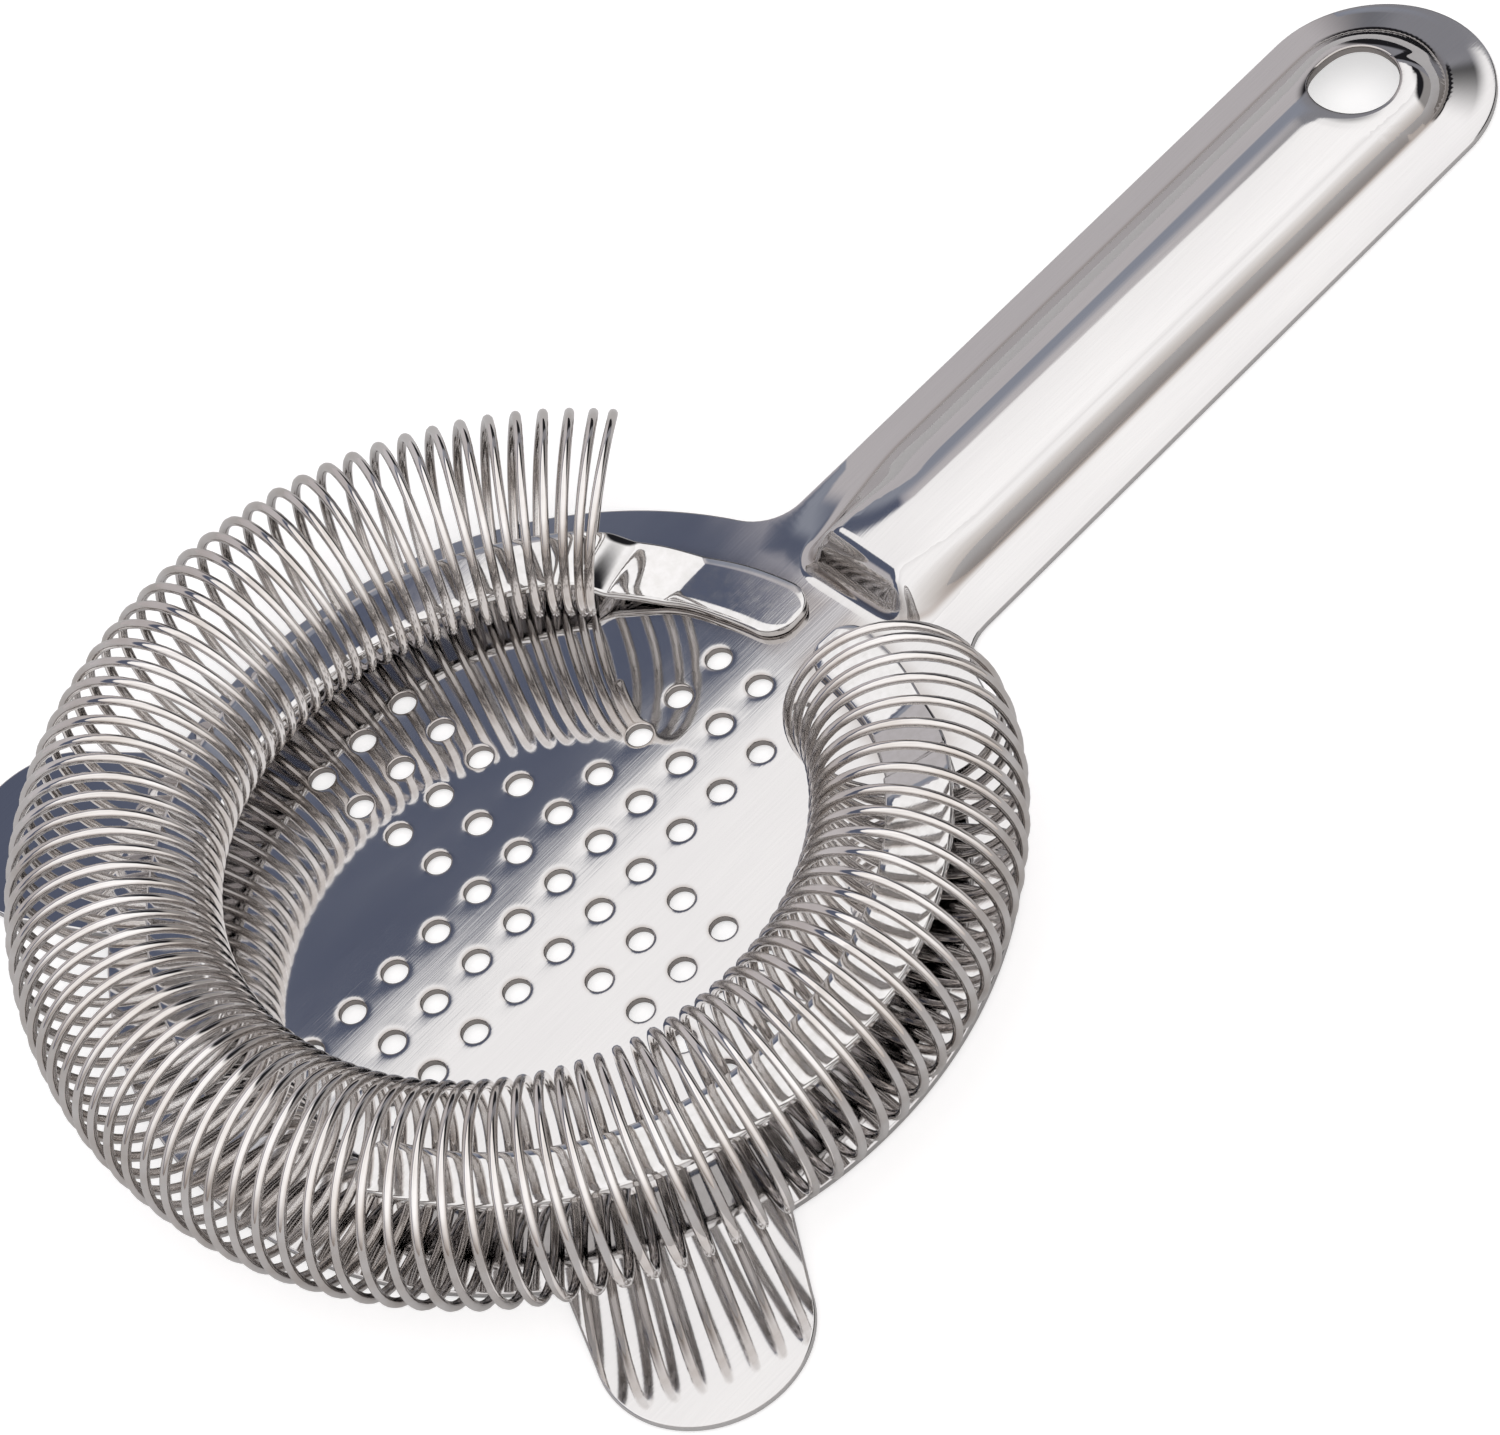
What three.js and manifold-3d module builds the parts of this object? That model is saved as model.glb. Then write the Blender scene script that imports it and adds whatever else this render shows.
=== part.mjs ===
// Hawthorne strainer: a perforated plate with a ribbed handle, two welded arms, and a coil spring on them.
// Millimetres, +Z up. The shapes are drawn with the disc's centre at the origin and the handle along +X.
import * as THREE from "three";
import { mergeVertices } from "three/addons/utils/BufferGeometryUtils.js";
import Module from "manifold-3d";

const wasm = await Module();
wasm.setup();

const SHEET = 0.8; // thickness of the stamped plate
const GAP = 0.3; // between pieces that touch on the real object

const disc = { radius: 39.8 };
const holes = { pitch: 5, radius: 1.15, reach: 5, rows: 1, sides: 10 };
const ear = { angle: 120, rootHalf: 9.65, endHalf: 9.05, endStart: 46.5, endLength: 8.65 };
const handle = { y: -0.35, half: 11.4, endX: 107.1, fillet: 5 };
const rib = {
  startX: 36.8,
  endX: 114.3,
  startY: -0.5, // the rib's middle line at its start and at its far end
  endY: 0.15,
  startHalf: 6.95,
  endHalf: 7.65,
  corner: 3.4,
  tightest: 0.4, // the smallest radius that a corner shrinks to further in
  height: 3.75,
  endDrop: 0.4, // how much lower the rib is at its far end
  wall: 4, // how far in from its foot the side wall reaches the crown
  steepening: 1.5, // above 1, the wall leaves its foot in a curve
  hollow: 0.5, // how far the underside's rib stands inside the upper one
  rings: 6,
  sideSteps: 6,
  arcSteps: 8,
};
const curveSteps = 20; // along each arc of the plate's outline
const hangingHole = { x: 105.4, radius: 4.2, sides: 32, cutterLength: 20 };

const arm = {
  inner: 29.3,
  outer: 34.8,
  frontInset: 0.8, // the inner edge moves out by this much towards the free end
  insetStart: 80,
  thickness: 1,
  startAngle: 3,
  endAngle: 162.3,
  rampStart: 28,
  rampEnd: 38,
  settled: 110, // from this angle on both arms are equally high
  padCorner: 2.6,
  endCorner: 1.5,
  waistAngle: 22.5,
  waistSpread: 5,
  waistDepth: 0.4,
  stations: 64,
  top: 6.1, // the upper face of the settled arm
};
const armTopAfterRamp = { left: 4.7, right: 6.1 };

const coil = {
  centreX: -2.4,
  alongX: 33.9, // half-axes of the oval that the coil's centre line follows
  alongY: 34.85,
  height: 10.2,
  radius: 8.7, // of the wire's centre line around the coil's own centre line
  wire: 0.42, // half the diagonal of the wire's square section
  turns: 90,
  startAngle: 30.5,
  closing: 2, // the first and last turns lie closer together, by this angle in all
  crowding: 0.06, // turns stand closer at the front than near the two ends
  fan: 0.957, // the planes of the turns fan out less than the oval's radii
  stepsPerTurn: 12,
  sides: 4,
};

const radians = THREE.MathUtils.degToRad;

// A closed geometry as a manifold-3d solid.
function solid(geometry) {
  const bare = geometry.clone();
  bare.deleteAttribute("normal");
  bare.deleteAttribute("uv");
  const merged = mergeVertices(bare, 1e-4);
  return new wasm.Manifold(
    new wasm.Mesh({
      numProp: 3,
      vertProperties: new Float32Array(merged.attributes.position.array),
      triVerts: new Uint32Array(merged.index.array),
    }),
  );
}

function geometryOf(body) {
  const mesh = body.getMesh();
  const geometry = new THREE.BufferGeometry();
  geometry.setAttribute("position", new THREE.BufferAttribute(mesh.vertProperties, 3));
  geometry.setIndex(new THREE.BufferAttribute(mesh.triVerts, 1));
  geometry.computeVertexNormals();
  return geometry;
}

// A closed skin over rings of points, all of one length, with a fan of triangles over each end.
function loft(rings) {
  const count = rings[0].length;
  const last = (rings.length - 1) * count;
  const index = [];
  for (let k = 0; k < rings.length - 1; k++) {
    for (let i = 0; i < count; i++) {
      const a = k * count + i;
      const b = k * count + ((i + 1) % count);
      index.push(a, b, b + count, a, b + count, a + count);
    }
  }
  for (let i = 1; i < count - 1; i++) {
    index.push(0, i + 1, i, last, last + i, last + i + 1);
  }
  const geometry = new THREE.BufferGeometry().setFromPoints(rings.flat());
  geometry.setIndex(index);
  geometry.computeVertexNormals();
  return geometry;
}

// The centre of the fillet between the disc and a side of the handle, and its direction from the origin.
function handleFillet(side) {
  const across = handle.half + side * handle.y + handle.fillet;
  const along = Math.sqrt((disc.radius + handle.fillet) ** 2 - across ** 2);
  return { x: along, y: side * across, angle: Math.atan2(across, along) };
}

// The plate's outline, counter-clockwise from the end of the handle.
function plateOutline() {
  const left = handleFillet(1);
  const right = handleFillet(-1);
  const outline = new THREE.Shape();
  outline.absarc(handle.endX, handle.y, handle.half, -Math.PI / 2, Math.PI / 2);
  outline.absarc(left.x, left.y, handle.fillet, -Math.PI / 2, left.angle - Math.PI, true);
  let from = left.angle;
  for (const middle of [radians(ear.angle), 2 * Math.PI - radians(ear.angle)]) {
    const spread = Math.asin(ear.rootHalf / disc.radius);
    outline.absarc(0, 0, disc.radius, from, middle - spread);
    outline.absellipse(
      ear.endStart * Math.cos(middle),
      ear.endStart * Math.sin(middle),
      ear.endLength,
      ear.endHalf,
      -Math.PI / 2,
      Math.PI / 2,
      false,
      middle,
    );
    from = middle + spread;
  }
  outline.absarc(0, 0, disc.radius, from, 2 * Math.PI - right.angle);
  outline.absarc(right.x, right.y, handle.fillet, Math.PI - right.angle, Math.PI / 2, true);
  return outline;
}

// The drain holes: a cross of three rows each way on a square grid.
function drainHoles() {
  const made = [];
  for (let i = -holes.reach; i <= holes.reach; i++) {
    for (let j = -holes.reach; j <= holes.reach; j++) {
      if (Math.min(Math.abs(i), Math.abs(j)) > holes.rows) continue;
      const rim = [];
      for (let k = 0; k < holes.sides; k++) {
        const turn = (-2 * Math.PI * k) / holes.sides;
        rim.push(
          new THREE.Vector2(
            i * holes.pitch + holes.radius * Math.cos(turn),
            j * holes.pitch + holes.radius * Math.sin(turn),
          ),
        );
      }
      made.push(new THREE.Path(rim));
    }
  }
  return made;
}

// The rib's outline moved in by inset, with each point lifted to its height.
function ribRing(inset, heightAt) {
  const startHalf = rib.startHalf - inset;
  const endRadius = rib.endHalf - inset;
  const endX = rib.endX - rib.endHalf;
  const corner = Math.min(Math.max(rib.corner - inset, rib.tightest), startHalf);
  const cornerX = rib.startX + inset + corner;
  const cornerY = startHalf - corner;
  const outline = new THREE.Path();
  const side = (sign, backwards) => {
    for (let k = 1; k < rib.sideSteps; k++) {
      const share = backwards ? 1 - k / rib.sideSteps : k / rib.sideSteps;
      outline.lineTo(
        THREE.MathUtils.lerp(endX, cornerX, share),
        THREE.MathUtils.lerp(rib.endY + sign * endRadius, rib.startY + sign * startHalf, share),
      );
    }
  };
  outline.absarc(endX, rib.endY, endRadius, -Math.PI / 2, Math.PI / 2);
  side(1, false);
  outline.absarc(cornerX, rib.startY + cornerY, corner, Math.PI / 2, Math.PI);
  outline.absarc(cornerX, rib.startY - cornerY, corner, Math.PI, 1.5 * Math.PI);
  side(-1, true);
  const points = [];
  for (const curve of outline.curves) {
    const steps = curve.isEllipseCurve ? rib.arcSteps : 1;
    for (let k = 0; k < steps; k++) {
      const p = curve.getPoint(k / steps);
      points.push(new THREE.Vector3(p.x, p.y, heightAt(p.x)));
    }
  }
  return points;
}

// The rib as a solid mound that starts at floor, made smaller by inset and lower by drop for its hollow.
function ribMound(floor, inset, drop) {
  const rings = [ribRing(inset, () => floor)];
  for (let k = 0; k <= rib.rings; k++) {
    const share = k / rib.rings;
    const rise = Math.sin((share * Math.PI) / 2) ** rib.steepening;
    const heightAt = (x) => {
      const along = THREE.MathUtils.clamp((x - rib.startX) / (rib.endX - rib.startX), 0, 1);
      return SHEET - drop + rise * (rib.height - rib.endDrop * along);
    };
    rings.push(ribRing(inset + share * rib.wall, heightAt));
  }
  return solid(loft(rings));
}

function strainerPlate() {
  const outline = plateOutline();
  outline.holes.push(...drainHoles());
  const sheet = new THREE.ExtrudeGeometry(outline, {
    depth: SHEET,
    bevelEnabled: false,
    curveSegments: curveSteps,
  });
  const cutter = new THREE.CylinderGeometry(
    hangingHole.radius,
    hangingHole.radius,
    hangingHole.cutterLength,
    hangingHole.sides,
  );
  cutter.rotateX(Math.PI / 2).translate(hangingHole.x, 0, 0);
  const plate = solid(sheet)
    .add(ribMound(SHEET / 2, 0, 0))
    .subtract(ribMound(-SHEET, rib.hollow, SHEET))
    .subtract(solid(cutter));
  return geometryOf(plate);
}

// The upper face of an arm: the pad lies on the disc, then the ramp, then a gentle climb to full height.
function armTop(angle, afterRamp) {
  const pad = SHEET + GAP + arm.thickness;
  const onRamp = THREE.MathUtils.smoothstep(angle, arm.rampStart, arm.rampEnd);
  const climbed = THREE.MathUtils.clamp((angle - arm.rampEnd) / (arm.settled - arm.rampEnd), 0, 1);
  return pad + onRamp * (afterRamp - pad) + climbed * (arm.top - afterRamp);
}

// One arm as a flat strip that follows the ring of the coil. side is 1 on the left, -1 on the right.
function armStrip(side, afterRamp) {
  const middleRadius = (arm.inner + arm.outer) / 2;
  const length = radians(arm.endAngle - arm.startAngle) * middleRadius;
  const rounding = (distance, corner) =>
    distance < corner ? corner - Math.sqrt(corner ** 2 - (corner - distance) ** 2) : 0;
  const rings = [];
  for (let k = 0; k <= arm.stations; k++) {
    // stations stand closer together at both round ends
    const share = (1 - Math.cos((Math.PI * k) / arm.stations)) / 2;
    const along = share * length;
    const angle = THREE.MathUtils.lerp(arm.startAngle, arm.endAngle, share);
    const cornerCut = Math.max(
      rounding(along, arm.padCorner),
      rounding(length - along, arm.endCorner),
    );
    const waist =
      arm.waistDepth * Math.exp(-(((angle - arm.waistAngle) / arm.waistSpread) ** 2));
    const outwards =
      arm.frontInset * THREE.MathUtils.smoothstep(angle, arm.insetStart, arm.endAngle);
    const inner = arm.inner + cornerCut + waist + outwards;
    const outer = arm.outer - cornerCut - waist;
    const top = armTop(angle, afterRamp);
    const x = Math.cos(radians(angle));
    const y = side * Math.sin(radians(angle));
    const section = [
      [inner, top - arm.thickness],
      [inner, top],
      [outer, top],
      [outer, top - arm.thickness],
    ].map(([r, z]) => new THREE.Vector3(r * x, r * y, z));
    rings.push(side > 0 ? section : section.reverse());
  }
  return loft(rings);
}

// The wire's centre line: a helix around an open oval ring.
class CoilPath extends THREE.Curve {
  constructor() {
    super();
    this.arcLengthDivisions = coil.turns * coil.stepsPerTurn * 2;
  }
  getPoint(t, target = new THREE.Vector3()) {
    const v = 2 * t - 1;
    const half = 180 - coil.startAngle;
    const even = 180 + half * (v * (1 - coil.crowding) + coil.crowding * v ** 3);
    const closed = Math.exp(-coil.turns * t) - Math.exp(-coil.turns * (1 - t));
    const angle = radians(even + coil.closing * closed);
    const fanned = Math.PI + (angle - Math.PI) * coil.fan;
    const turn = -2 * Math.PI * coil.turns * t;
    const reach = coil.radius * Math.cos(turn);
    return target.set(
      coil.centreX + coil.alongX * Math.cos(angle) + reach * Math.cos(fanned),
      coil.alongY * Math.sin(angle) + reach * Math.sin(fanned),
      coil.height + coil.radius * Math.sin(turn),
    );
  }
}

function coilSpring() {
  const section = new THREE.Shape();
  for (let k = 0; k < coil.sides; k++) {
    const turn = (2 * Math.PI * k) / coil.sides;
    section.lineTo(coil.wire * Math.cos(turn), coil.wire * Math.sin(turn));
  }
  return new THREE.ExtrudeGeometry(section, {
    steps: coil.turns * coil.stepsPerTurn,
    extrudePath: new CoilPath(),
  });
}

function steel(color, roughness) {
  return new THREE.MeshStandardMaterial({ color, roughness, metalness: 1 });
}

function named(name, geometry, material) {
  const mesh = new THREE.Mesh(geometry, material);
  mesh.name = name;
  return mesh;
}

const plateSteel = steel(0xc4c4c8, 0.25);
const armSteel = steel(0xcfcfd2, 0.12);
const springSteel = steel(0xbdb9b6, 0.15);

const strainer = new THREE.Group();
strainer.add(
  named("strainer_plate", strainerPlate(), plateSteel),
  named("left_arm", armStrip(1, armTopAfterRamp.left), armSteel),
  named("right_arm", armStrip(-1, armTopAfterRamp.right), armSteel),
  named("coil_spring", coilSpring(), springSteel),
);

// The part's frame is at the middle of its box, on the face that the plate rests on.
const box = new THREE.Box3().setFromObject(strainer, true);
strainer.position.set(-(box.min.x + box.max.x) / 2, 0, 0);

export default strainer;
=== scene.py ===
import math

import bpy
import numpy as np
from mathutils import Matrix, Vector
from mathutils.geometry import delaunay_2d_cdt


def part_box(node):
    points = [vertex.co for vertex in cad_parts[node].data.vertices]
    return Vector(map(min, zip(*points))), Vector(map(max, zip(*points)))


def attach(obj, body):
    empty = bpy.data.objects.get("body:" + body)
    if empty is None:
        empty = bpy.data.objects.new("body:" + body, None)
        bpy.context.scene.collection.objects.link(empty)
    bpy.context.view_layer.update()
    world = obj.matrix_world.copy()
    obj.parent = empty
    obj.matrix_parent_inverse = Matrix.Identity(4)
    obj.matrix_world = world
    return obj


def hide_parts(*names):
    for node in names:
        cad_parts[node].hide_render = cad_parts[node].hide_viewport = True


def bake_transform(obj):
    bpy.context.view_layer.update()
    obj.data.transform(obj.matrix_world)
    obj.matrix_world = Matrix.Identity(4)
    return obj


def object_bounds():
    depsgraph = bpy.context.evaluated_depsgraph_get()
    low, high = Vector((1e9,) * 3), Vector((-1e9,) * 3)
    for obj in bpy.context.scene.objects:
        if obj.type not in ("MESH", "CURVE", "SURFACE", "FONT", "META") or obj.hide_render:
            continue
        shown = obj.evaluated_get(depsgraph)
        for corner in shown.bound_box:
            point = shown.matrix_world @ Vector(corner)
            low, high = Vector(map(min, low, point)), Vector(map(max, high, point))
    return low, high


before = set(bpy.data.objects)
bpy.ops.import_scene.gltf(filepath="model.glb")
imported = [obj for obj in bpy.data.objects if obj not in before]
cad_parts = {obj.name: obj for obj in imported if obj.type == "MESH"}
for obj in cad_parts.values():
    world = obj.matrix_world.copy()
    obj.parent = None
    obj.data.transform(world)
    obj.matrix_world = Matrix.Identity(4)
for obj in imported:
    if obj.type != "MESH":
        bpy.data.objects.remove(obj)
CAD_LOW, CAD_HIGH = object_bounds()

# Shapes are worked out in millimetres about the disc's centre, then moved into the frame in metres.
MM = 0.001
PLATE_LOW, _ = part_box("strainer_plate")
DISC_RADIUS = 39.8
DISC_X = PLATE_LOW.x / MM + DISC_RADIUS  # where the disc's centre lies in the frame
SHEET = 0.8  # thickness of the stamped plate

HOLE = {"pitch": 5.0, "radius": 1.15, "reach": 5, "rows": 1, "sides": 28}
HOLE_DISH = {"depth": 0.015, "width": 0.13, "reach": 0.8}
# a shallow groove that each hole leaves on its -X side
TRAIL = {"depth": 0.007, "half": 0.8, "length": 0.9, "start": 0.2, "fading": 2, "end": 3.6}
HANG = {"x": 105.4, "y": 0.0, "radius": 4.2, "sides": 96}
HANG_DISH = {"depth": 0.25, "width": 0.9, "reach": 3.2}
EAR = {"angle": 120, "root": 9.65, "half": 9.05, "start": 46.5, "length": 8.65}
HANDLE = {"y": -0.35, "half": 11.4, "end": 107.1, "fillet": 5.0}
RIB = {
    "start": 36.65,
    "end": 106.6,  # centre of the round far end
    "mid": 0.17,
    "half": 7.65,
    "narrower": 1.42,  # the left foot stands further in near the disc
    "widening": (39.0, 52.0),
    "height": (3.75, 3.35),  # at the start, and at the far end
    "corner": 3.0,
    "end_wall": 1.5,  # steepness of the wall that faces the disc
    "left_wall": (1.8, 0.8),  # steepness at the start, and along the handle
    "right_wall": (1.4, 3.0),
    "settling": (1.0, 12.0),  # the crown arches, and the flanks settle, over this stretch
    "round_end": 1.1,  # steepness of the far end
    "left_turn": (35, 90),  # degrees round the far end where it becomes the left flank
    "right_turn": (20, 90),
    "foot": (1.2, 0.5),  # heights over which the folds are rounded
    "wall_crest": 1.5,
    "left_crest": 1.2,
    "right_crest": 2.8,
    "arch": (0.018, 0.0193),  # fall of the crown to the left and to the right, per square millimetre
    "hollow": 0.5,  # how far the underside's rib stands inside the upper one
}
FLANGE = {"rise": 0.42, "width": 3.4, "from": (36.0, 46.0)}  # the sheet climbs a little to the rib
EDGE = 0.2  # rounding of the sheet's cut edge
HOLE_EDGE = 0.14
EDGE_TURNS = (30, 60, 90)  # degrees at which the rounding has its points

# Where the plate's mesh gets extra points, so that it can carry its soft shapes. A grid is its first
# value, its end and its step.
PLATE_MESH = {
    "rib_insets": (-2.6, -1.8, -1.1, -0.6, -0.35, -0.2, -0.08, 0.04, 0.16, 0.3, 0.46, 0.66, 0.9)
    + (1.2, 1.55, 1.95, 2.4),
    "rib_x": (36, 118, 0.6),
    "rib_y": (-9, 10, 0.45),
    "crown_inset": 2.6,
    "rib_ahead": 1.5,
    "hang_gaps": (0.4, 0.6, 0.85, 1.15, 1.5, 1.95, 2.4, 2.9),
    "disc": (-38.5, 39, 1.0),
    "disc_shift": 0.03,
    "disc_clear": 1.1,
    "hole_gaps": (0.2, 0.28, 0.38, 0.5, 0.66, 0.9),
}

# Painted shade: the sheet's colour darkens in the rib's folds, round the hole rims and under the welded arm
# pads, where shade falls. Strength and reach of each part.
PAINTED_SHADE = {
    "folds": {"strength": 0.8, "inset": 0.15, "width": 0.3},
    "rims": {"strength": 0.7, "width": 0.25},
    # half is the strip's print across, and degree about a degree's length along it
    "weld": {"strength": 0.6, "half": 2.75, "width": 0.9, "degree": 0.55},
}

ARM = {
    "inner": 29.0,
    "outer": 34.8,
    "inset": 0.8,  # the inner edge moves out by this much towards the free end
    "inset_from": 80,
    "thick": 0.95,
    "start": 3.0,
    "end": 162.3,
    "skew": 1.9,  # how far the folds lean from the strip's middle to an edge, in degrees
    "fold": 0.7,  # half the width of the rounded folds, in degrees
    "fold_steps": 9,
    "folds": (24.0, 30.5, 34.6, 38.0, 43.0),
    "rises": {  # over the pad, at each fold
        "left_arm": (0.0, 0.6, 0.9, 2.2, 2.7),
        "right_arm": (0.0, 0.7, 1.1, 3.7, 4.25),
    },
    "settled": 110.0,  # the angle where the climb ends
    "pad_top": 1.85,
    "top": 6.1,
    "pad_corner": 2.6,
    "end_corner": 1.5,
    "waist": (22.5, 5.0, 0.2),  # angle, spread and depth of the narrow neck
    "edge": 0.28,
    "dense": 1.5,  # length of the closely meshed ends, in pad corners
    "dense_rows": 28,
    "rows": 260,
    "columns": 9,
}

COIL = {
    "x": -2.5,
    "along_x": 33.9,
    "along_y": 34.85,
    "height": 10.2,
    "radius": 8.7,
    "wire": 0.43,
    "turns": 92,
    "first": 0.42,  # the part of the first turn that the wire leaves out
    "ends": (22.2, 25.0),  # angles of the left and of the right end
    "closing": (4.1, 2.2),  # the end turns lie closer together, by these angles in all
    "closing_rate": (0.75, 1.3),
    "lean": (4.5, 3.2),  # the end turns lean over the gap, held back by the arms' ramps
    "lean_turns": 10,
    "tucked": 0.035,  # the share by which the ring draws in at its right end
    "tucked_turns": 1.2,
    "crowding": 0.06,  # how much closer the turns lie at the front than on average
    "fan": 0.957,  # the turns fan out by this share of their angle round the ring
    "steps": 56,  # a turn
    "sides": 10,
    "cap": 0.6,  # length of the rounded ends, in wire radii
    "cap_turns": (35, 65),
}

CAMERA = {
    "azimuth": -30.56,
    "elevation": 51.84,
    "roll": -19.35,
    "distance": 0.42187,
    "aim": (22.35, -1.2),  # on the floor, in millimetres from the disc's centre
    "sensor": 36,
    "lens": 117.65,
}

FLOOR = {"half": 1.6, "gap": 0.0002, "glow": 0.58}  # lengths in metres

STRENGTH = 1.54  # of the world's light
SOFTBOX_EDGE = (-0.826, 0.563)  # how a direction's Y and Z count towards standing over the edge
EDGE_LEAN = 0.62  # how much of its Y is taken off a direction's X to tell how far along the edge it lies
NAVY = (0.08, 0.092, 0.135)
DARK_GREY = (0.2, 0.2, 0.22)
BEIGE = (0.44, 0.42, 0.43)


def smoothstep(value, low, high):
    share = np.clip((np.asarray(value, float) - low) / (high - low), 0, 1)
    return share * share * (3 - 2 * share)


def between(first, second, share):
    return first + (second - first) * share


def soft_min(a, b, width):
    """The lower of two heights, rounded where they differ by less than width."""
    return np.minimum(a, b) - width * np.clip(1 - np.abs(a - b) / width, 0, 1) ** 2 / 4


def soft_max(a, b, width):
    return -soft_min(-a, -b, width)


def unit(vectors):
    return vectors / np.linalg.norm(vectors, axis=-1, keepdims=True)


def make_piece(name, points, faces, normals, material, values=None):
    """A smooth mesh object from points in millimetres about the disc's centre."""
    mesh = bpy.data.meshes.new(name)
    moved = (np.asarray(points, float) + (DISC_X, 0, 0)) * MM
    mesh.from_pydata(moved.tolist(), [], faces)
    mesh.polygons.foreach_set("use_smooth", [True] * len(mesh.polygons))
    # the values are painted shade, one per point, kept as a mesh attribute for the material
    if values is not None:
        painted_shade = mesh.attributes.new("painted_shade", "FLOAT", "POINT")
        painted_shade.data.foreach_set("value", np.asarray(values, np.float32))
    if normals is not None:
        mesh.normals_split_custom_set_from_vertices(unit(np.asarray(normals)).tolist())
    mesh.update()
    piece = bpy.data.objects.new(name, mesh)
    bpy.context.scene.collection.objects.link(piece)
    mesh.materials.append(material)
    return piece


# ---------------------------------------------------------------- plate


def arc(cx, cy, radius, start, end, step=0.7, other=None):
    """Points along an arc, without its last one. other is the second half-axis of an ellipse."""
    count = max(3, math.ceil(abs(end - start) * radius / step))
    turn = start + (end - start) * np.arange(count) / count
    return np.c_[cx + radius * np.cos(turn), cy + (other or radius) * np.sin(turn)]


def line(start, end, step=1.2):
    count = max(1, math.ceil(math.dist(start, end) / step))
    share = np.arange(count)[:, None] / count
    return np.asarray(start) * (1 - share) + np.asarray(end) * share


def circle(count):
    """Points of a unit circle."""
    turn = 2 * math.pi * np.arange(count) / count
    return np.c_[np.cos(turn), np.sin(turn)]


def ear_outline(angle):
    """The round end of an ear whose middle line leaves the disc at this angle."""
    end = arc(0, 0, EAR["length"], -math.pi / 2, math.pi / 2, other=EAR["half"])
    root = EAR["root"]
    foot = math.sqrt(DISC_RADIUS**2 - root**2)
    tip = [EAR["start"], EAR["half"]]
    local = np.vstack(
        [
            line([foot, -root], [tip[0], -tip[1]]),
            end + (EAR["start"], 0),
            line(tip, [foot, root]),
        ]
    )
    along, across = math.cos(angle), math.sin(angle)
    return local @ np.array([[along, across], [-across, along]])


def plate_outline():
    """The plate's outline, counter-clockwise from the end of the handle."""
    y, half, fillet = HANDLE["y"], HANDLE["half"], HANDLE["fillet"]
    reach = DISC_RADIUS + fillet
    corners = []
    for side in (1, -1):
        across = half + side * y + fillet
        along = math.sqrt(reach**2 - across**2)
        corners.append((along, side * across, math.atan2(across, along)))
    (left_x, left_y, left), (right_x, right_y, right) = corners
    ear = math.radians(EAR["angle"])
    spread = math.asin(EAR["root"] / DISC_RADIUS)
    full, quarter = 2 * math.pi, math.pi / 2
    return np.vstack(
        [
            arc(HANDLE["end"], y, half, -quarter, quarter),
            line([HANDLE["end"], y + half], [left_x, y + half]),
            arc(left_x, left_y, fillet, -quarter, left - math.pi),
            arc(0, 0, DISC_RADIUS, left, ear - spread),
            ear_outline(ear),
            arc(0, 0, DISC_RADIUS, ear + spread, full - ear - spread),
            ear_outline(-ear),
            arc(0, 0, DISC_RADIUS, full - ear + spread, full - right),
            arc(right_x, right_y, fillet, math.pi - right, quarter),
            line([right_x, y - half], [HANDLE["end"], y - half]),
        ]
    )


def outward(loop):
    """Unit vectors square to a closed counter-clockwise loop, pointing out of it."""
    ahead = unit(np.roll(loop, -1, 0) - loop)
    along = unit(ahead + np.roll(ahead, 1, 0))
    return np.c_[along[:, 1], -along[:, 0]]


def hole_centres():
    reach, rows = HOLE["reach"], HOLE["rows"]
    steps = range(-reach, reach + 1)
    found = [(i, j) for i in steps for j in steps if min(abs(i), abs(j)) <= rows]
    return np.array(found, float) * HOLE["pitch"]


def rib_halves(x):
    """How far the rib's foot lies to the left and to the right of its middle line."""
    narrower = RIB["narrower"] * (1 - smoothstep(x, *RIB["widening"]))
    return RIB["half"] - narrower, RIB["half"]


def rib_inset(x, y):
    """How far a point lies inside the rib's foot, less than nothing outside it."""
    left, right = rib_halves(x)
    across = y - RIB["mid"]
    away = np.hypot(np.maximum(x - RIB["end"], 0), across)
    inside = np.where(across > 0, left, right) - away
    from_start = x - RIB["start"]
    corner = RIB["corner"]
    cut = corner - np.hypot(np.maximum(corner - from_start, 0), np.maximum(corner - inside, 0))
    return np.minimum(np.minimum(inside, from_start), cut)


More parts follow.
